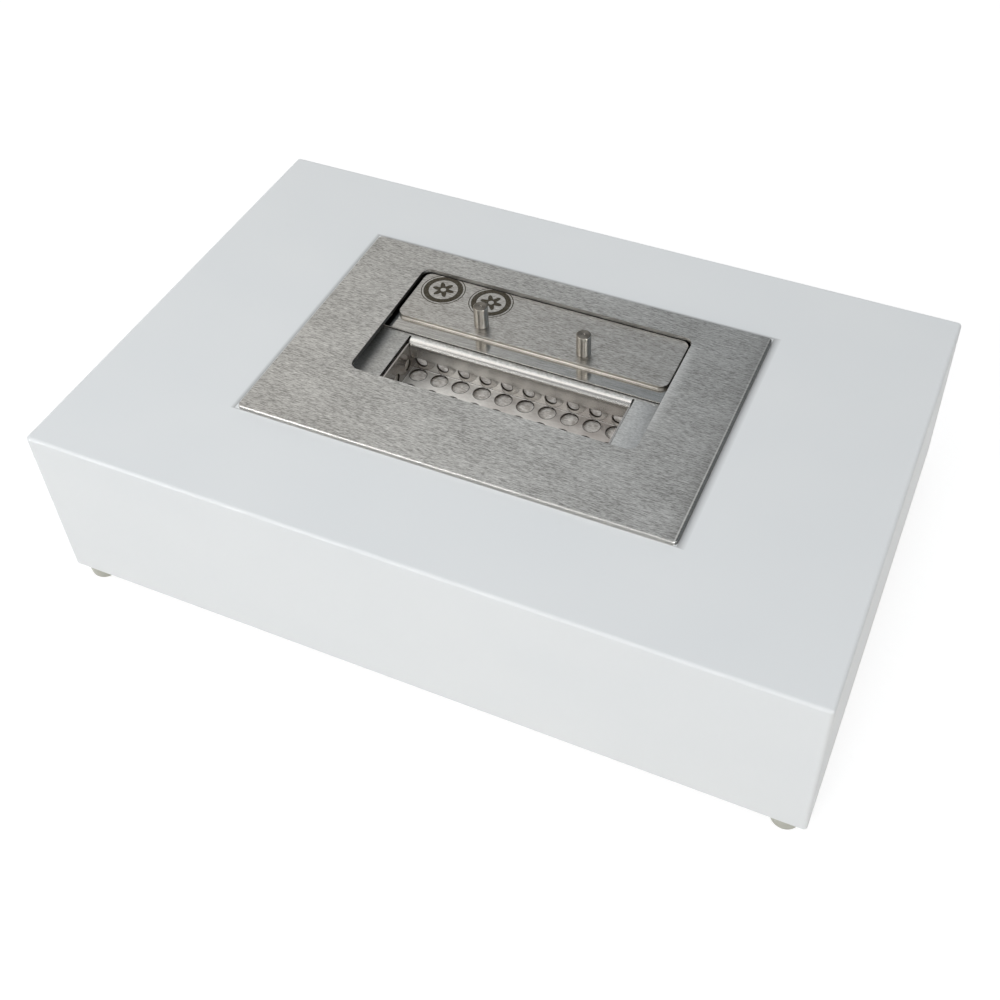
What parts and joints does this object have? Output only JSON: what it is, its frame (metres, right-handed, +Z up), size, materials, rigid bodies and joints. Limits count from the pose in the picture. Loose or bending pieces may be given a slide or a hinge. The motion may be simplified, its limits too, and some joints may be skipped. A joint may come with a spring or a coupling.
{
  "type": "tabletop bioethanol fireplace",
  "caption": "Tabletop bioethanol fireplace: a low steel box on rubber feet with a drop-in stainless burner, a perforated flame tray and a sliding lid that shuts the mouth.",
  "frame": {"origin": "under the middle of the housing, on the plane that the feet stand on", "axes": "+X to the right along the front, +Y to the back, +Z up"},
  "size_m": [0.35, 0.2246, 0.102],
  "materials": {
    "housing_paint": "white powder coat, satin",
    "foot_rubber": "matt grey rubber",
    "plate_steel": "stainless, brushed along the front",
    "deck_steel": "stainless, fine blotchy brushing",
    "polished_steel": "stainless, mill polished",
    "lid_steel": "stainless, brushed along the front",
    "turned_steel": "stainless, turned bright",
    "ceramic_wool": "loose pale fibre"
  },
  "bodies": {
    "housing": {"housing": "housing_paint", "foot_front_left": "foot_rubber", "foot_front_right": "foot_rubber", "foot_back_left": "foot_rubber", "foot_back_right": "foot_rubber"},
    "burner": {"flange_plate": "plate_steel", "fuel_tank": "plate_steel", "burner_deck": "deck_steel", "flame_tray": "polished_steel", "wool_base": "ceramic_wool", "wool_collar": "ceramic_wool", "guide_rail_left": "plate_steel", "guide_rail_right": "plate_steel", "front_spacer": "plate_steel"},
    "slider": {"slide_sheet": "polished_steel", "lid": "lid_steel", "knob_left": "turned_steel", "knob_right": "turned_steel", "knob_screw_left": "turned_steel", "knob_screw_right": "turned_steel"}
  },
  "joints": [
    {"name": "burner_lift", "type": "slide", "parent": "housing", "child": "burner", "axis": [0, 0, 1], "range_m": [0, 0.06]},
    {"name": "lid_slide", "type": "slide", "parent": "burner", "child": "slider", "axis": [0, -1, 0], "range_m": [0, 0.0421]}
  ]
}
